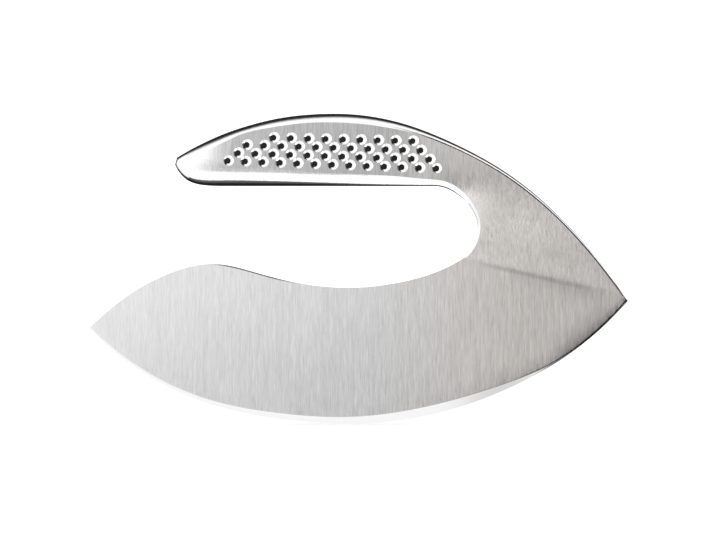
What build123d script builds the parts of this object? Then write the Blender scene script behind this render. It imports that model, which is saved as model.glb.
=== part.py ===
from build123d import *
import os

# A one-handed mezzaluna made all of steel: a ground blade with a tang, two pressed half shells
# welded into a hollow grip, a loose filling that balances it, and black dots in its dimples.
#
# Frame: it stands upright on its cutting edge, as it is used. X runs along the blade, Z is up,
# Y goes through the thickness and the middle plane is y = 0. The front is the side that faces -Y.
# The origin is under the middle of the length, level with the lowest point of the cutting edge.

os.makedirs("parts", exist_ok=True)

# Overall sizes in millimetres
length = 190.0
height = 109.2
grip_thickness = 16.0
grip_depth = 25.6
blade_thickness = 2.0

# Finger slot between the grip and the blade, and the point of the grip
slot_end_x = 27.9
slot_end_length = 14.0
slot_end_depth = 25.2
slot_height = 35.8
slot_mouth = 27.4
nose_length = 15.7

# Ground edge of the blade
edge_thickness = 0.2
bevel_thickness = 1.5
bevel_width = 3.2
roll_width = 6.0

# Hollow grip, its welds and its filling
shell_wall = 1.2
dimple_wall = 0.8
seam_width = 0.8
seam_depth = 0.7
weld_edge = 0.1
tang_length = 14.0
fill_gap = 0.3

# Dimples with their black dots
dimple_diameter = 3.8
dimple_slope_depth = 0.55
dot_diameter = 2.1
dot_depth = 0.45
dot_shift_left = 0.35
dot_shift_down = 0.1
dimple_pitch = 6.1
row_gap = 3.0
first_row_drop = 9.25
first_row_x = -29.5

# Reach of the cutting shapes past what they cut
overrun = 20.0

half_grip = grip_thickness / 2
half_blade = blade_thickness / 2
underside = height - grip_depth
spine_low = underside - slot_height
hump = underside - slot_mouth


def spot(x, z, y=0.0):
    """Point at a place along the blade, a height and a distance from the middle plane."""
    return Vector(x, y, z)


def shared(x_share, z_share):
    """Point in the middle plane, in shares of the overall length and height."""
    return spot(x_share * length, z_share * height)


def plate(outline, half):
    """Solid of an outline in the middle plane, as thick on both sides as half says."""
    face = Face(outline)
    return Solid.extrude(face.moved(Location((0, -half, 0))), Vector(0, 2 * half, 0))


left_tip = shared(-0.5, 0.307)
right_tip = shared(0.5, 0.395)
grip_tip = shared(-0.343, 0.851)

# Top contour of the grip in the middle plane, from its point to the right tip
top_shares = [(-0.2755, 0.916), (-0.179, 0.974), (-0.063, 1.0), (0.0584, 0.980),
              (0.1698, 0.911), (0.281, 0.803), (0.370, 0.673)]
outer_contour = Spline([grip_tip] + [shared(x, z) for x, z in top_shares] + [right_tip])

# Inner contour: round the nose, along the underside and round the end of the finger slot
nose_drop = grip_tip.Z - underside
nose_shares = [(0.065, 0.31), (0.245, 0.70), (0.595, 0.95), (1.0, 1.0)]
nose_points = [grip_tip + spot(x * nose_length, -z * nose_drop) for x, z in nose_shares]


def slot_spot(x_share, z_share):
    """Point on the end of the slot, in shares of its length and depth."""
    return spot(slot_end_x + x_share * slot_end_length, underside - z_share * slot_end_depth)


slot_end_shares = [(0.0, 0.0), (0.545, 0.134), (0.885, 0.356), (1.0, 0.586), (0.822, 0.90), (0.668, 1.0)]
slot_end_points = [slot_spot(x, z) for x, z in slot_end_shares]
slot_foot = slot_end_points[-1]
inner_contour = Wire([
    Spline([grip_tip] + nose_points),
    Line(nose_points[-1], slot_end_points[0]),
    Spline(slot_end_points),
])

# Cross-sections of the hollow body, from its nose over the grip and round to the blade.
# Each has its places along the outer and the inner contour, the shares of its width that the
# outer and the inner shoulder take, and its share of the thickness.
nose_station_shares = [
    (0.0075, 0.0138, 0.38, 0.58, 0.07),
    (0.0220, 0.0290, 0.33, 0.63, 0.33),
    (0.0480, 0.0606, 0.30, 0.64, 0.63),
    (0.0820, 0.1010, 0.26, 0.55, 0.86),
]
grip_station_shares = [
    (0.1260, 0.1767, 0.165, 0.37, 1.00),
    (0.1928, 0.2731, 0.145, 0.29, 1.01),
    (0.2538, 0.3751, 0.140, 0.22, 1.01),
    (0.3198, 0.4688, 0.145, 0.185, 1.01),
    (0.3859, 0.5627, 0.150, 0.17, 1.01),
    (0.4591, 0.6511, 0.140, 0.155, 1.01),
    (0.5236, 0.7102, 0.120, 0.135, 1.00),
]
# Round the slot the thickness falls from the grip to the weld, and the last share is of that fall
fall_station_shares = [
    (0.5880, 0.750, 0.117, 0.140, 0.93),
    (0.6600, 0.788, 0.104, 0.115, 0.77),
    (0.7300, 0.828, 0.083, 0.070, 0.55),
    (0.7940, 0.868, 0.060, 0.045, 0.33),
    (0.8520, 0.905, 0.045, 0.028, 0.14),
    (0.9000, 0.938, 0.036, 0.018, 0.00),
]
# From the weld it runs out to a crease on the blade, and the last share is of that fall
root_station_shares = [
    (0.9350, 0.960, 0.031, 0.015, 0.64),
    (0.9680, 0.980, 0.026, 0.012, 0.31),
    (1.0000, 1.000, 0.022, 0.010, 0.00),
]


class Station:
    """One cross-section of the hollow body, with its ends on the two contours."""

    def __init__(self, outer_place, inner_place, outer_shoulder, inner_shoulder, half):
        self.outer = outer_contour @ outer_place
        self.inner = inner_contour @ inner_place
        self.inward = (self.inner - self.outer).normalized()
        self.outer_sine = self.inward.cross(outer_contour % outer_place).length
        self.inner_sine = self.inward.cross(inner_contour % inner_place).length
        self.half = half
        self.outer_shoulder = outer_shoulder
        self.inner_shoulder = inner_shoulder


weld_half = half_blade + shell_wall
weld_fall = half_grip - weld_half
crease_half = half_blade + weld_edge
crease_fall = weld_half - crease_half
shell_stations = [Station(*row[:4], row[4] * half_grip) for row in nose_station_shares + grip_station_shares]
shell_stations += [Station(*row[:4], weld_half + row[4] * weld_fall) for row in fall_station_shares]
root_stations = [Station(*row[:4], crease_half + row[4] * crease_fall) for row in root_station_shares]
weld_station = shell_stations[-1]
hollow_stations = shell_stations[2:]
groove_stations = shell_stations[1:]

# Share of the way to a corner at which a curve's handle makes it a quarter of an ellipse,
# and the share by which a shoulder stays short of tangent, which leaves the face a crisp border
round_share = 0.55
crisp_share = 0.05


def section(station, inset):
    """Closed cross-section of the body at a station, inset all round from its skin."""
    start = station.outer + station.inward * (inset / station.outer_sine)
    end = station.inner - station.inward * (inset / station.inner_sine)
    half = station.half - inset
    width = (end - start).length
    out = station.outer_shoulder * width
    back = width - station.inner_shoulder * width

    def at(along, side):
        return start + station.inward * along + spot(0, 0, side * half)

    soft = 1 - crisp_share
    out_handle = out * (1 - round_share)
    back_handle = back + (width - back) * round_share
    return Wire([
        Bezier(at(0, 0), at(0, -round_share), at(out_handle, -soft), at(out, -1)),
        Line(at(out, -1), at(back, -1)),
        Bezier(at(back, -1), at(back_handle, -soft), at(width, -round_share), at(width, 0)),
        Bezier(at(width, 0), at(width, round_share), at(back_handle, soft), at(back, 1)),
        Line(at(back, 1), at(out, 1)),
        Bezier(at(out, 1), at(out_handle, soft), at(0, round_share), at(0, 0)),
    ])


def slab(half):
    """Flat layer about the middle plane, wider and taller than the whole object."""
    return Box(2 * length, 2 * half, 3 * height)


def body(inset, chosen):
    """Body of the grip through the chosen stations, inset from its skin, with flat faces."""
    return Solid.make_loft([section(station, inset) for station in chosen]) & slab(half_grip - inset)


# Cutting edge in the middle plane, from beyond the left tip to beyond the right one.
# Each place has its shares of length and height, and its shares of the bevel's and the roll's width.
edge_place_shares = [
    (-0.526, 0.358, 0.20, 0.35),
    (-0.500, 0.307, 0.20, 0.40),
    (-0.432, 0.201, 0.30, 0.70),
    (-0.294, 0.072, 0.45, 1.00),
    (-0.138, 0.012, 0.65, 1.00),
    (-0.025, 0.000, 0.70, 1.00),
    (0.108, 0.0175, 1.00, 1.00),
    (0.250, 0.091, 0.75, 1.00),
    (0.374, 0.203, 0.12, 0.80),
    (0.500, 0.395, 0.12, 0.35),
    (0.526, 0.452, 0.12, 0.30),
]
edge_points = [shared(x, z) for x, z, bevel, roll in edge_place_shares]


def edge_level(side, bevel_share, roll_share):
    """Outline of the blade's stock at one distance from the middle plane, open above the tips."""
    points = []
    for number, (x, z, bevel, roll) in enumerate(edge_place_shares):
        before = edge_points[max(number - 1, 0)]
        after = edge_points[min(number + 1, len(edge_points) - 1)]
        along = (after - before).normalized()
        inward = spot(-along.Z, along.X)
        inset = bevel_share * bevel * bevel_width + roll_share * roll * roll_width
        points.append(edge_points[number] + inward * inset + spot(0, 0, side))
    top_left = spot(points[0].X, height + overrun, side)
    top_right = spot(points[-1].X, height + overrun, side)
    sides = Polyline(points[-1], top_right, top_left, points[0])
    return Wire([Spline(points), *sides.edges()])


def ground_stock(side):
    """One side of the blade's stock: flat edge, bevel, convex roll, then steep past the grip's face."""
    edge = side * edge_thickness / 2
    bevel = side * bevel_thickness / 2
    rise = side * half_blade - bevel
    past_grip = side * (half_grip + shell_wall)
    roll_shares = [0, 0.25, 0.5, 0.75, 1]
    roll_levels = [edge_level(bevel + rise * (1 - (1 - share) ** 2), 1, share) for share in roll_shares]
    half_stock = Solid.make_loft([edge_level(0, 0, 0), edge_level(edge, 0, 0)], True)
    half_stock += Solid.make_loft([edge_level(edge, 0, 0), roll_levels[0]], True)
    half_stock += Solid.make_loft(roll_levels)
    half_stock += Solid.make_loft([roll_levels[-1], edge_level(past_grip, 1, 2)], True)
    return half_stock


def strip(low, high):
    """Block across the body beside the weld's line, from low to high above that line."""
    out = weld_station.inward * -1
    up = spot(-out.Z, out.X)
    near = weld_station.inner - out * (slot_end_length / 2)
    far = weld_station.outer + out * overrun
    corners = [near + up * low, far + up * low, far + up * high, near + up * high]
    return plate(Wire(Polyline(corners, close=True)), grip_thickness)


def front_part(shape):
    """The part of a shape in front of the middle plane."""
    return shape & Pos(0, -grip_thickness, 0) * Box(2 * length, 2 * grip_thickness, 3 * height)


stock = ground_stock(-1) + ground_stock(1)
skin = body(0, shell_stations + root_stations) & stock
root_zone = strip(-overrun, 0)
grip_skin = skin - root_zone

# Spine of the blade: up from the left tip over the hump, along the slot and round its end
left_rise = hump - left_tip.Z
low_fall = hump - spine_low
foot_rise = slot_foot.Z - spine_low
rise_shares = [(-0.441, 0.43), (-0.384, 0.727), (-0.316, 0.949), (-0.265, 1.0)]
fall_shares = [(-0.195, 0.335), (-0.119, 0.768), (-0.025, 1.0)]
foot_shares = [(0.074, 0.169), (0.161, 0.65)]
spine_points = [shared(-0.526, 0.262), left_tip]
spine_points += [spot(x * length, left_tip.Z + z * left_rise) for x, z in rise_shares]
spine_points += [spot(x * length, hump - z * low_fall) for x, z in fall_shares]
spine_points += [spot(x * length, spine_low + z * foot_rise) for x, z in foot_shares]
spine_points.append(slot_foot)

past_tip = right_tip + (right_tip - slot_foot).normalized() * overrun
low_right = spot(past_tip.X, -overrun)
low_left = spot(spine_points[0].X, -overrun)
blade_sides = Polyline(spine_points[-1], past_tip, low_right, low_left, spine_points[0])
blade_outline = Wire([Spline(spine_points), *blade_sides.edges()])

tang = body(shell_wall + fill_gap, hollow_stations) & slab(half_blade) & strip(0, tang_length)
blade = plate(blade_outline, half_blade) & stock
blade += skin & root_zone & slab(half_blade)
blade += tang

front_blade_weld = front_part(skin & root_zone) - slab(half_blade)

# Seam bead in its groove round the middle plane
groove = slab(seam_width / 2) - body(seam_depth, groove_stations)
handle_seam_weld = grip_skin & groove

# Dimples in four rows. Each row has its number of dimples, the place of its first one
# in pitches from the top row's first, and its fall towards the right for each length along it.
row_counts = [9, 11, 12, 13]
row_start_shares = [0, -1.54, -2.04, -2.63]
row_fall_shares = [0.024, 0.031, 0.033, 0.037]
row_middle_x = first_row_x + (row_counts[0] - 1) / 2 * dimple_pitch

dimple_places = []
for row, count in enumerate(row_counts):
    for number in range(count):
        x = first_row_x + (row_start_shares[row] + number) * dimple_pitch
        drop = first_row_drop + row * row_gap + row_fall_shares[row] * (x - row_middle_x)
        dimple_places.append(spot(x, height - drop))

dimple_radius = dimple_diameter / 2
dot_radius = dot_diameter / 2
dot_shift = spot(-dot_shift_left, -dot_shift_down)
dot_side = half_grip - dimple_slope_depth
dot_low_side = dot_side - dot_depth
bump_side = dot_low_side - dimple_wall


def disc(place, side, radius):
    """Round plate outline at a distance in front of the middle plane."""
    return Wire.make_circle(radius, Plane(place + spot(0, 0, -side), z_dir=(0, -1, 0)))


def rods(low_side, high_side, radius):
    """Short round rod behind each dimple's dot, between two distances from the middle plane."""
    reach = Vector(0, low_side - high_side, 0)
    seats = [place + dot_shift for place in dimple_places]
    return [Solid.extrude(Face(disc(seat, low_side, radius)), reach) for seat in seats]


def slopes():
    """Sloping wall of each dimple, from its rim down to its dot, which sits low and to the left."""
    rims = [disc(place, half_grip, dimple_radius) for place in dimple_places]
    feet = [disc(place + dot_shift, dot_side, dot_radius) for place in dimple_places]
    return [Solid.make_loft([rim, foot]) for rim, foot in zip(rims, feet)]


bumps = rods(bump_side, half_grip, dot_radius + dimple_wall)
cavity = front_part(body(shell_wall, hollow_stations)) - bumps
front_dimple_dots = rods(dot_low_side, dot_side, dot_radius)
front_handle_shell = front_part(grip_skin) - cavity - groove - slopes() - front_dimple_dots

filling = body(shell_wall + fill_gap, hollow_stations) & slab(bump_side - fill_gap)
sand_fill = filling - strip(-overrun, tang_length + fill_gap)

pieces = {
    "blade": blade,
    "front_handle_shell": front_handle_shell,
    "rear_handle_shell": mirror(front_handle_shell, Plane.XZ),
    "handle_seam_weld": handle_seam_weld,
    "front_blade_weld": front_blade_weld,
    "rear_blade_weld": mirror(front_blade_weld, Plane.XZ),
    "sand_fill": sand_fill,
    "front_dimple_dots": Compound(front_dimple_dots),
    "rear_dimple_dots": mirror(Compound(front_dimple_dots), Plane.XZ),
}
for name, piece in pieces.items():
    solids = piece.solids()
    print(name, len(solids), round(sum(solid.volume for solid in solids), 2))
    export_step(piece, "parts/" + name + ".step")
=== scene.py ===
import math

import bpy
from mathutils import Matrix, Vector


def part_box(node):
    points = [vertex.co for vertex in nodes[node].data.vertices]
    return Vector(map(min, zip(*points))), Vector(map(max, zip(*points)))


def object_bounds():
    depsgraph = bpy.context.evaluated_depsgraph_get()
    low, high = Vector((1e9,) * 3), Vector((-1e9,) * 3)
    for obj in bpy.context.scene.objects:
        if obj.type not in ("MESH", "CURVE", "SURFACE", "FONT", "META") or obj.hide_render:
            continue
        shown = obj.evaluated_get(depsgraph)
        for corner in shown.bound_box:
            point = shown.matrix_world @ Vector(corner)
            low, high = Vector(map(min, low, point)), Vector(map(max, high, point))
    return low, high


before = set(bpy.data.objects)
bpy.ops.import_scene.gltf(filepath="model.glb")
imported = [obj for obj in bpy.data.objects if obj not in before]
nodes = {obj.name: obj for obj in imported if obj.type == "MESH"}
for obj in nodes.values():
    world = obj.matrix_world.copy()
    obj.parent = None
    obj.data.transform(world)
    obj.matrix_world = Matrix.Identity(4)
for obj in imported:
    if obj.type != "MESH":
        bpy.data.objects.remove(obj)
cad_low, cad_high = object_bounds()

MM = 0.001
scene = bpy.context.scene

# Sizes read from the frame, in metres
blade_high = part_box("blade")[1]
object_length = cad_high.x - cad_low.x
middle_x = (cad_high.x + cad_low.x) / 2

# Half the blade's thickness, on its faces and where the brushed part ends and the polished bevel begins
blade_half = blade_high.y
bevel_half = 0.75 * MM

# Ends of the crease between the grip's foot and the blade, where a painted shade lies, as x and z
crease_left = (0.0373, 0.0576)
crease_right = (cad_high.x, 0.0445)

# Middle line of the wider, weaker painted shade just below the crease
hollow_drop = 1.0 * MM
hollow_left = (crease_left[0], crease_left[1] - hollow_drop)
hollow_right = (crease_right[0], crease_right[1] - hollow_drop)

# Line along the cutting edge's right end, where a painted shade darkens the brushed face
flank_left = (0.0640, 0.0156)
flank_right = (0.0943, 0.0410)

# Centres of painted shade at the right tip, and beside the slot's end where the ground body turns to the
# left
tip_spot = (cad_high.x, 0.0431)
slot_spot = (0.0485, 0.0743)

# Spine right of the hump: the factors of its height for falling powers of the distance from its middle,
# and the stretches over which its painted dark line comes in and goes out
spine_middle_x = -0.036
spine_powers = (-6606.8, 281.01, 0.42996, -0.286377, 0.0531022)
spine_line_in = (-0.0535, -0.045)
spine_line_out = (-0.0305, -0.0195)


class Graph:
    """A material's or world's node tree, with short calls for the nodes used here."""

    def __init__(self, tree):
        self.nodes = tree.nodes
        self.links = tree.links

    def add(self, kind, **settings):
        node = self.nodes.new(kind)
        for name, value in settings.items():
            setattr(node, name, value)
        return node

    def feed(self, socket, value):
        """Links an output to a socket, or sets the socket's own value."""
        if isinstance(value, bpy.types.NodeSocket):
            self.links.new(value, socket)
        elif value is not None:
            socket.default_value = value

    def math(self, operation, first, second=None, clamp=False):
        node = self.add("ShaderNodeMath", operation=operation, use_clamp=clamp)
        self.feed(node.inputs[0], first)
        self.feed(node.inputs[1], second)
        return node.outputs[0]

    def product(self, first, *others):
        for other in others:
            first = self.math("MULTIPLY", first, other)
        return first

    def remap(self, value, low, high, new_low=0.0, new_high=1.0, smooth=True):
        kind = "SMOOTHSTEP" if smooth else "LINEAR"
        node = self.add("ShaderNodeMapRange", interpolation_type=kind)
        for socket, item in zip(node.inputs, (value, low, high, new_low, new_high)):
            self.feed(socket, item)
        return node.outputs[0]

    def mix_value(self, share, first, second):
        node = self.add("ShaderNodeMix", data_type="FLOAT")
        self.feed(node.inputs["Factor"], share)
        self.feed(node.inputs["A"], first)
        self.feed(node.inputs["B"], second)
        return node.outputs["Result"]

    def mix_colour(self, share, first, second):
        """Mix of two colours, by the sockets that this node keeps for colours."""
        node = self.add("ShaderNodeMix", data_type="RGBA", blend_type="MIX")
        factor_socket, first_socket, second_socket, result_socket = 0, 6, 7, 2
        self.feed(node.inputs[factor_socket], share)
        self.feed(node.inputs[first_socket], first)
        self.feed(node.inputs[second_socket], second)
        return node.outputs[result_socket]

    def colour(self, red, green, blue):
        node = self.add("ShaderNodeCombineColor")
        for socket, value in zip(node.inputs, (red, green, blue)):
            self.feed(socket, value)
        return node.outputs[0]

    def object_place(self):
        return self.add("ShaderNodeTexCoord").outputs["Object"]

    def split(self, vector):
        """The vector's three numbers."""
        node = self.add("ShaderNodeSeparateXYZ")
        self.feed(node.inputs[0], vector)
        return node.outputs[:3]

    def split_normal(self):
        """The surface's direction, as three numbers."""
        return self.split(self.add("ShaderNodeNewGeometry").outputs["Normal"])

    def noise(self, vector, repeats, detail, roughness):
        """Noise with its own number of repeats per metre along each axis."""
        stretched = self.add("ShaderNodeMapping")
        self.feed(stretched.inputs["Vector"], vector)
        self.feed(stretched.inputs["Scale"], repeats)
        node = self.add("ShaderNodeTexNoise")
        self.feed(node.inputs["Vector"], stretched.outputs[0])
        self.feed(node.inputs["Scale"], 1.0)
        self.feed(node.inputs["Detail"], detail)
        self.feed(node.inputs["Roughness"], roughness)
        return node.outputs[0]

    def bump(self, height, distance, strength=1.0):
        node = self.add("ShaderNodeBump")
        self.feed(node.inputs["Strength"], strength)
        self.feed(node.inputs["Distance"], distance)
        self.feed(node.inputs["Height"], height)
        return node.outputs[0]


def new_material(name):
    """Empty material with a Principled shader, as (material, graph, shader)."""
    material = bpy.data.materials.new(name)
    material.use_nodes = True
    graph = Graph(material.node_tree)
    graph.nodes.clear()
    output = graph.add("ShaderNodeOutputMaterial")
    shader = graph.add("ShaderNodeBsdfPrincipled")
    graph.links.new(shader.outputs[0], output.inputs[0])
    return material, graph, shader


def steel(name, left_grey, right_grey, polished_grey, mask):
    """Steel brushed along Z, with greys at the left and right that are painted light and shade,
    and polished where the mask says.

    The mask is a function that gives the polished share, then factors of painted light and shade for the
    brushed part, for the polished part and for both.
    """
    # A noise has its repeats per metre along x, y and z, its detail and its roughness
    hair_noise, hair_share = ((3200, 3200, 200), 3.0, 0.6), 0.65
    streak_noise, streak_share = ((1500, 1500, 90), 2.0, 0.5), 0.35
    cloud_noise, cloud_range, cloud_depth = ((22, 22, 22), 2.0, 0.5), (0.3, 0.7), 0.012
    grain_range, contrast_range, contrasts = (0.35, 0.65), (-0.09, 0.06), (0.08, 0.14)
    grey_range = (0.005, 0.045)
    low_range, low_factor, low_ends = (0.005, 0.05), 0.91, (0.01, 0.045)
    warm_range, warm_green, warm_blue = (0.0, 0.055), 0.95, 0.91
    brushed_roughness, polished_roughness, brushed_anisotropy = (0.27, 0.36), 0.08, 0.7
    bump_height, bump_strength = 0.02 * MM, 0.2

    material, graph, shader = new_material(name)
    place = graph.object_place()
    spot = graph.split(place)
    x, _, z = spot
    polished, brushed_painted_light, polished_painted_shade, whole_painted_shade = mask(graph, spot)

    hairs = graph.noise(place, *hair_noise)
    streaks = graph.noise(place, *streak_noise)
    clouds = graph.noise(place, *cloud_noise)
    grain = graph.math("ADD", graph.product(hairs, hair_share), graph.product(streaks, streak_share))

    # Grey of the brushed part: across the object as painted light and shade, a little less low down
    # at the left, with its grain
    lower = graph.mix_value(graph.remap(x, *low_ends), graph.remap(z, *low_range, low_factor, 1.0), 1.0)
    across = graph.remap(x, *grey_range, left_grey, right_grey)
    across = graph.product(across, brushed_painted_light, lower)
    contrast = graph.remap(x, *contrast_range, *contrasts, smooth=False)
    hair_grey = graph.product(graph.remap(grain, *grain_range, -1.0, 1.0, smooth=False), contrast)
    cloud_grey = graph.remap(clouds, *cloud_range, -cloud_depth, cloud_depth, smooth=False)
    brushed = graph.math("ADD", graph.math("ADD", across, hair_grey), cloud_grey)

    # Both parts together, and the painted shades that lie over both
    brightness = graph.mix_value(polished, brushed, graph.product(polished_painted_shade, polished_grey))
    brightness = graph.product(brightness, whole_painted_shade)
    # Painted shade along the crease, and a wider, weaker painted shade just below it
    crease = streak_shade(graph, spot, crease_left, crease_right, reach=1.5 * MM,
                          starts=(0.017, 0.237), ends=(0.6, 0.95), least=0.75)
    brightness = graph.math("MULTIPLY", brightness, crease, clamp=True)
    hollow = streak_shade(graph, spot, hollow_left, hollow_right, reach=4.5 * MM,
                          starts=(0.2, 0.5), ends=(0.75, 1.0), least=0.88)
    # Painted shade along the cutting edge's right end, at the right tip and beside the slot's end
    flank = streak_shade(graph, spot, flank_left, flank_right, reach=9 * MM,
                         starts=(0.1, 0.42), ends=(0.75, 1.0), least=0.70)
    tip = spot_shade(graph, spot, tip_spot, reach=2.6 * MM, least=0.1)
    turn = spot_shade(graph, spot, slot_spot, reach=12 * MM, least=0.82)
    brightness = graph.product(brightness, hollow, flank, tip, turn)

    # Warmer to the right, on the brushed part alone
    warmth = graph.product(graph.remap(x, *warm_range), graph.math("SUBTRACT", 1.0, polished))
    green = graph.product(brightness, graph.mix_value(warmth, 1.0, warm_green))
    blue = graph.product(brightness, graph.mix_value(warmth, 1.0, warm_blue))
    graph.feed(shader.inputs["Base Color"], graph.colour(brightness, green, blue))

    shader.inputs["Metallic"].default_value = 1.0
    graph.feed(shader.inputs["Anisotropic"], graph.mix_value(polished, brushed_anisotropy, 0.0))
    sideways = graph.add("ShaderNodeCombineXYZ")
    sideways.inputs["X"].default_value = 1.0
    graph.feed(shader.inputs["Tangent"], sideways.outputs[0])
    rough = graph.remap(grain, *grain_range, *brushed_roughness, smooth=False)
    graph.feed(shader.inputs["Roughness"], graph.mix_value(polished, rough, polished_roughness))
    strength = graph.mix_value(polished, bump_strength, 0.0)
    graph.feed(shader.inputs["Normal"], graph.bump(grain, bump_height, strength))
    return material


def grip_mask(graph, spot):
    """Polished where the surface turns away from the flat faces, with a painted highlight on the brushed
    part towards the grip's point.
    """
    facing_range = (0.90, 0.94)
    point_range, point_highlight = (-0.046, -0.060), 1.6
    x, _, _ = spot
    _, facing, _ = graph.split_normal()
    polished = graph.remap(graph.math("ABSOLUTE", facing), *facing_range, 1.0, 0.0)
    # Painted highlight: the brushed part brightens towards the grip's point
    brushed_painted_light = graph.remap(x, *point_range, 1.0, point_highlight)
    return polished, brushed_painted_light, 1.0, 1.0


def blade_mask(graph, spot):
    """Polished on the bevel, whose painted shade darkens it to the right,
    with the painted shades of the roll and the spine.
    """
    border = 1.03
    dark_range, down_range, least = (0.056, 0.071), (-0.3, -0.1), 0.1
    x, y, _ = spot
    _, _, upward = graph.split_normal()
    from_middle = graph.math("ABSOLUTE", y)
    polished = graph.remap(from_middle, bevel_half, bevel_half * border, 1.0, 0.0)
    brushed_painted_light = roll_shade(graph, spot, from_middle)
    # Painted shade on the bevel's down-facing side, darkening to the right
    dark = graph.product(graph.remap(x, *dark_range), graph.remap(upward, *down_range, 1.0, 0.0))
    polished_painted_shade = graph.mix_value(dark, 1.0, least)
    return polished, brushed_painted_light, polished_painted_shade, spine_shade(graph, spot, from_middle)


def roll_shade(graph, spot, from_middle):
    """Painted shade where the blade rolls off to the bevel at the right, with a painted dark line
    near the bevel, as a factor.
    """
    roll_depth = 0.28
    rim_range, rim_depth = (0.85, 1.0), 0.55
    line_range, tip_line_range, line_depth = (0.78, 0.93), (0.50, 0.80), 0.8
    tip_range, line_in, right_range = (0.066, 0.088), (0.05, 0.075), (0.02, 0.07)
    x, _, _ = spot
    roll = graph.remap(from_middle, blade_half, bevel_half, 0.0, 1.0, smooth=False)
    rim = graph.remap(roll, *rim_range, 0.0, rim_depth)
    near_tip = graph.remap(x, *tip_range)
    line_from = graph.mix_value(near_tip, line_range[0], tip_line_range[0])
    line_to = graph.mix_value(near_tip, line_range[1], tip_line_range[1])
    line = graph.product(graph.remap(roll, line_from, line_to, 0.0, line_depth), graph.remap(x, *line_in))
    depth = graph.math("ADD", graph.math("ADD", graph.product(roll, roll_depth), rim), line)
    return graph.math("SUBTRACT", 1.0, graph.product(depth, graph.remap(x, *right_range)), clamp=True)


def spine_shade(graph, spot, from_middle):
    """Thin painted dark line along the spine, right of the hump, for the dark reflection of a broken edge
    that the shape does not have, as a factor.
    """
    line_range, least = (0.30 * MM, 0.62 * MM), 0.2
    face_range = (0.9 * blade_half, 0.98 * blade_half)
    x, _, z = spot
    along = graph.math("SUBTRACT", x, spine_middle_x)
    spine = spine_powers[0]
    for power in spine_powers[1:]:
        spine = graph.math("ADD", graph.product(spine, along), power)
    near = graph.remap(graph.math("SUBTRACT", spine, z), *line_range, 1.0, 0.0)
    started = graph.remap(x, *spine_line_in)
    ended = graph.remap(x, *spine_line_out, 1.0, 0.0)
    on_face = graph.remap(from_middle, *face_range)
    depth = graph.product(graph.product(near, on_face), graph.product(started, ended))
    return graph.mix_value(depth, 1.0, least)


def streak_shade(graph, spot, left, right, reach, starts, ends, least):
    """Painted shade as a factor that falls to its least value along a line,
    and is 1 past its reach and its ends.

    The line runs between two places, each given as x and z. It fades in and out over shares of its length.
    """
    run_x = right[0] - left[0]
    run_z = right[1] - left[1]
    run = math.hypot(run_x, run_z)
    x, _, z = spot
    from_x = graph.math("SUBTRACT", x, left[0])
    from_z = graph.math("SUBTRACT", z, left[1])
    along = graph.math("ADD", graph.product(from_x, run_x / run), graph.product(from_z, run_z / run))
    off = graph.math("SUBTRACT", graph.product(from_z, run_x / run), graph.product(from_x, run_z / run))
    near = graph.remap(graph.math("ABSOLUTE", off), 0.0, reach, 1.0, 0.0)
    started = graph.remap(along, starts[0] * run, starts[1] * run)
    ended = graph.remap(along, ends[0] * run, ends[1] * run, 1.0, 0.0)
    depth = graph.product(near, graph.product(started, ended))
    return graph.mix_value(depth, 1.0, least)


def spot_shade(graph, spot, centre, reach, least):
    """Painted shade as a factor that falls to its least value at a place, given as x and z,
    and is 1 past its reach.
    """
    x, _, z = spot
    off_x = graph.math("SUBTRACT", x, centre[0])
    off_z = graph.math("SUBTRACT", z, centre[1])
    square = graph.math("ADD", graph.product(off_x, off_x), graph.product(off_z, off_z))
    return graph.remap(graph.math("SQRT", square), 0.0, reach, least, 1.0)


def black_filling():
    """Glossy black filling at the bottom of the dimples, a little uneven."""
    lump_noise, lump_range = ((900, 900, 900), 2.0, 0.5), (0.3, 0.7)
    shades, roughnesses = (0.002, 0.010), (0.25, 0.4)
    bump_height, bump_strength = 0.1 * MM, 0.3
    material, graph, shader = new_material("black_filling")
    lumps = graph.noise(graph.object_place(), *lump_noise)
    shade = graph.remap(lumps, *lump_range, *shades, smooth=False)
    graph.feed(shader.inputs["Base Color"], graph.colour(shade, shade, shade))
    graph.feed(shader.inputs["Roughness"], graph.remap(lumps, *lump_range, *roughnesses, smooth=False))
    shader.inputs["Specular IOR Level"].default_value = 0.2
    graph.feed(shader.inputs["Normal"], graph.bump(lumps, bump_height, bump_strength))
    return material


def sand():
    """Dry sand for the filling inside the grip."""
    grain_noise, grain_height = ((3000, 3000, 3000), 2.0, 0.6), 0.1 * MM
    dark_grain, pale_grain = (0.42, 0.33, 0.20, 1), (0.80, 0.70, 0.52, 1)
    material, graph, shader = new_material("sand")
    grains = graph.noise(graph.object_place(), *grain_noise)
    graph.feed(shader.inputs["Base Color"], graph.mix_colour(grains, dark_grain, pale_grain))
    shader.inputs["Roughness"].default_value = 0.9
    graph.feed(shader.inputs["Normal"], graph.bump(grains, grain_height))
    return material


def dress(material, *node_names):
    """Gives CAD nodes their material."""
    for node_name in node_names:
        mesh = nodes[node_name].data
        mesh.materials.clear()
        mesh.materials.append(material)


def flat_piece(name, corners):
    """Flat four-cornered piece of the studio, as its object."""
    mesh = bpy.data.meshes.new(name)
    mesh.from_pydata(corners, [], [(0, 1, 2, 3)])
    piece = bpy.data.objects.new(name, mesh)
    scene.collection.objects.link(piece)
    return piece


def floor():
    """Plain pale floor, just under the cutting edge."""
    half = 3.0
    level = -0.2 * MM
    corners = [(-half, -half, level), (half, -half, level), (half, half, level), (-half, half, level)]
    piece = flat_piece("floor", corners)
    material, _, shader = new_material("floor")
    shader.inputs["Base Color"].default_value = (0.93, 0.93, 0.93, 1)
    shader.inputs["Roughness"].default_value = 0.9
    shader.inputs["Specular IOR Level"].default_value = 0.0
    piece.data.materials.append(material)
    piece.visible_glossy = False


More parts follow.
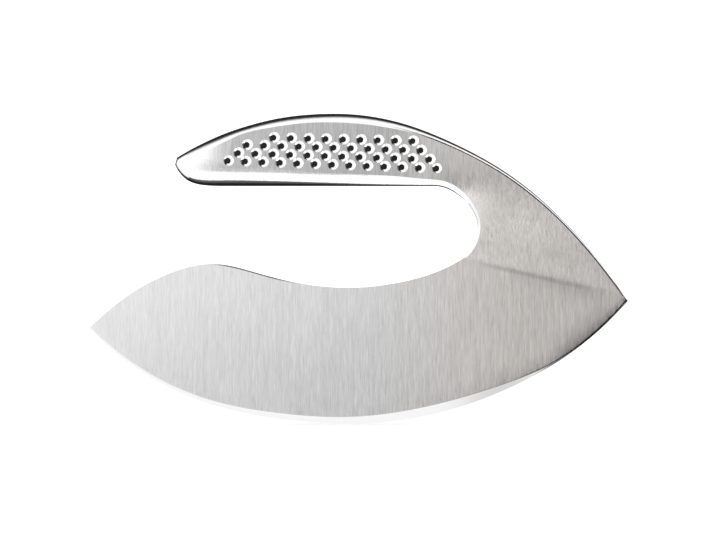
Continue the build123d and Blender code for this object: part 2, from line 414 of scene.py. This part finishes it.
def studio_world():
    """Surroundings of the object: plain white, but for mirrored rays white with dark parts.

    Those are behind the object and high up at the right. Directions are given by their sideways part,
    their depth away from the camera and their height, each from -1 to 1.
    """
    plain_strength, dark = 1.5, 0.02
    underneath = (-0.05, 0.05)
    horizon_side, horizon_glows, horizon_height = (-0.6, 0.4), (1.2, 0.45), (0.12, 0.32)
    open_glow = 1.1
    low_middle_side, low_middle_glow = (0.1, 0.2), 0.8
    low_right_side, low_right_glow = (0.3, 0.5), 1.5
    high_right_side, high_right_height = (0.15, 0.35), (0.1, 0.2)
    limit_side, limits, limit_width = (0.5, 0.7), (0.05, 0.35), 0.2
    behind_side = (-0.1, 0.5)
    dim_depths, low_dim_depth = (0.0, 0.65), 0.70
    dark_depths, low_dark_depth = (0.65, 0.85), 0.92
    rise_range = (-0.15, -0.02)

    world = bpy.data.worlds.new("studio")
    scene.world = world
    world.use_nodes = True
    graph = Graph(world.node_tree)
    graph.nodes.clear()
    output = graph.add("ShaderNodeOutputWorld")
    side, depth, height = graph.split(graph.add("ShaderNodeTexCoord").outputs["Generated"])
    below = graph.remap(height, *underneath, 1.0, 0.0)
    off_level = graph.math("ABSOLUTE", height)

    # White part: a horizon that dims to the right, and whiter parts above and below it
    horizon = graph.remap(side, *horizon_side, *horizon_glows, smooth=False)
    low_middle = graph.product(below, graph.remap(side, *low_middle_side))
    away = graph.mix_value(low_middle, open_glow, low_middle_glow)
    low_right = graph.product(below, graph.remap(side, *low_right_side))
    away = graph.mix_value(low_right, away, low_right_glow)
    front = graph.mix_value(graph.remap(off_level, *horizon_height), horizon, away)

    # Dark part high up at the right, as far back as its limit
    high_right = graph.product(graph.remap(side, *high_right_side), graph.remap(height, *high_right_height))
    past = graph.math("SUBTRACT", depth, graph.remap(side, *limit_side, *limits))
    high_right = graph.product(high_right, graph.remap(past, -limit_width, 0.0, 1.0, 0.0))

    # Dark part behind, which starts further back at the right and below
    dim_from = graph.remap(side, *behind_side, *dim_depths, smooth=False)
    dim_from = graph.mix_value(below, dim_from, low_dim_depth)
    dark_from = graph.remap(side, *behind_side, *dark_depths, smooth=False)
    dark_from = graph.mix_value(below, dark_from, low_dark_depth)
    rise = graph.math("ADD", off_level, side)
    behind = graph.product(graph.remap(depth, dim_from, dark_from), graph.remap(rise, *rise_range))

    grey = graph.mix_value(graph.math("MAXIMUM", behind, high_right), front, dark)
    mirrored = graph.add("ShaderNodeBackground")
    graph.feed(mirrored.inputs["Color"], graph.colour(grey, grey, grey))
    plain = graph.add("ShaderNodeBackground")
    plain.inputs["Color"].default_value = (1, 1, 1, 1)
    plain.inputs["Strength"].default_value = plain_strength
    mix = graph.add("ShaderNodeMixShader")
    graph.links.new(graph.add("ShaderNodeLightPath").outputs["Is Glossy Ray"], mix.inputs[0])
    graph.links.new(plain.outputs[0], mix.inputs[1])
    graph.links.new(mirrored.outputs[0], mix.inputs[2])
    graph.links.new(mix.outputs[0], output.inputs[0])


def card(name, corners):
    """Flat card of the studio, seen only in the object's reflections, as (graph, strength socket)."""
    piece = flat_piece(name, corners)
    material = bpy.data.materials.new(name)
    material.use_nodes = True
    graph = Graph(material.node_tree)
    graph.nodes.clear()
    glow = graph.add("ShaderNodeEmission")
    graph.links.new(glow.outputs[0], graph.add("ShaderNodeOutputMaterial").inputs[0])
    piece.data.materials.append(material)
    for rays in ("camera", "diffuse", "shadow", "transmission", "volume_scatter"):
        setattr(piece, "visible_" + rays, False)
    return graph, glow.inputs["Strength"]


def panel(name, distance, left_glow, right_glow):
    """Glowing card in front or behind, whose glow falls to the right and rises a little upwards."""
    half_width, low, high = 0.6, -0.14, 0.26
    across_range = (-0.3, 0.3)
    upward_range, upward_factors = (-0.1, 0.2), (0.84, 1.26)
    corners = [(-half_width, distance, low), (half_width, distance, low),
               (half_width, distance, high), (-half_width, distance, high)]
    graph, strength = card(name, corners)
    x, _, z = graph.split(graph.object_place())
    across = graph.remap(x, *across_range, left_glow, right_glow, smooth=False)
    upward = graph.remap(z, *upward_range, *upward_factors, smooth=False)
    graph.feed(strength, graph.product(across, upward))


def under_card():
    """Dark card close under the grip, for the dark line below it, with a bright card as its underside.

    Its front border is a curve over the distance from a place near the grip's point.
    """
    left, right, front, rear, level = -0.09, 0.034, -0.006, 0.1, 0.074
    curve_from, curve_bend, curve_slope, curve_depth = -0.060, 3.886, 0.0691, -3.8 * MM
    border_half, border_glows = 0.6 * MM, (1.2, 0.16)
    fade_width, fade_least = 9 * MM, 0.1
    backing_gap, backing_glow = 0.5 * MM, 1.1
    corners = [(left, front, level), (right, front, level), (right, rear, level), (left, rear, level)]
    graph, strength = card("under_card", corners)
    x, y, _ = graph.split(graph.object_place())
    along = graph.math("SUBTRACT", x, curve_from)
    bend = graph.product(along, along, curve_bend)
    start = graph.math("SUBTRACT", bend, graph.product(along, curve_slope))
    past = graph.math("SUBTRACT", y, graph.math("ADD", start, curve_depth))
    border = graph.remap(past, -border_half, border_half, *border_glows)
    fade = graph.remap(past, 0.0, fade_width, 1.0, fade_least)
    graph.feed(strength, graph.product(border, fade))
    backing = [(x, y, z - backing_gap) for x, y, z in corners]
    _, strength = card("under_backing", backing)
    strength.default_value = backing_glow


def point_card():
    """Dark card to the left of the grip's point, for the dark outline of its end."""
    place, front, rear, low, high = -0.070, -0.002, 0.03, 0.074, 0.102
    fade_range, glows = (-1 * MM, 3 * MM), (1.2, 0.05)
    corners = [(place, front, low), (place, rear, low), (place, rear, high), (place, front, high)]
    graph, strength = card("point_card", corners)
    _, y, _ = graph.split(graph.object_place())
    graph.feed(strength, graph.remap(y, *fade_range, *glows))


def camera():
    """Long lens, square on to the front, framed as the photograph is."""
    photo_width_px = 716
    left_tip_px = 89.0
    right_tip_px = 628.0
    edge_px = 423.3
    middle_px = (358.0, 270.0)
    metres_per_px = object_length / (right_tip_px - left_tip_px)
    distance = 1.5
    data = bpy.data.cameras.new("camera")
    data.sensor_width = 36.0
    data.lens = data.sensor_width * distance / (photo_width_px * metres_per_px)
    data.clip_start = 0.01
    eye = bpy.data.objects.new("camera", data)
    aim_x = middle_x + (middle_px[0] - (left_tip_px + right_tip_px) / 2) * metres_per_px
    aim_z = (edge_px - middle_px[1]) * metres_per_px
    eye.location = (aim_x, -distance, aim_z)
    eye.rotation_euler = (math.radians(90), 0, 0)
    scene.collection.objects.link(eye)
    scene.camera = eye


# Blade and grip are one steel; their different greys are painted light and shade
blade_steel = steel("blade_steel", left_grey=0.84, right_grey=0.81, polished_grey=0.85, mask=blade_mask)
grip_steel = steel("grip_steel", left_grey=0.56, right_grey=0.85, polished_grey=0.92, mask=grip_mask)
dress(blade_steel, "blade")
dress(grip_steel, "front_handle_shell", "rear_handle_shell", "handle_seam_weld")
dress(grip_steel, "front_blade_weld", "rear_blade_weld")
dress(black_filling(), "front_dimple_dots", "rear_dimple_dots")
dress(sand(), "sand_fill")

floor()
studio_world()
panel("front_panel", distance=-0.5, left_glow=1.34, right_glow=0.145)
panel("rear_panel", distance=0.5, left_glow=0.9, right_glow=0.5)
under_card()
point_card()
camera()
scene.view_settings.view_transform = "Standard"
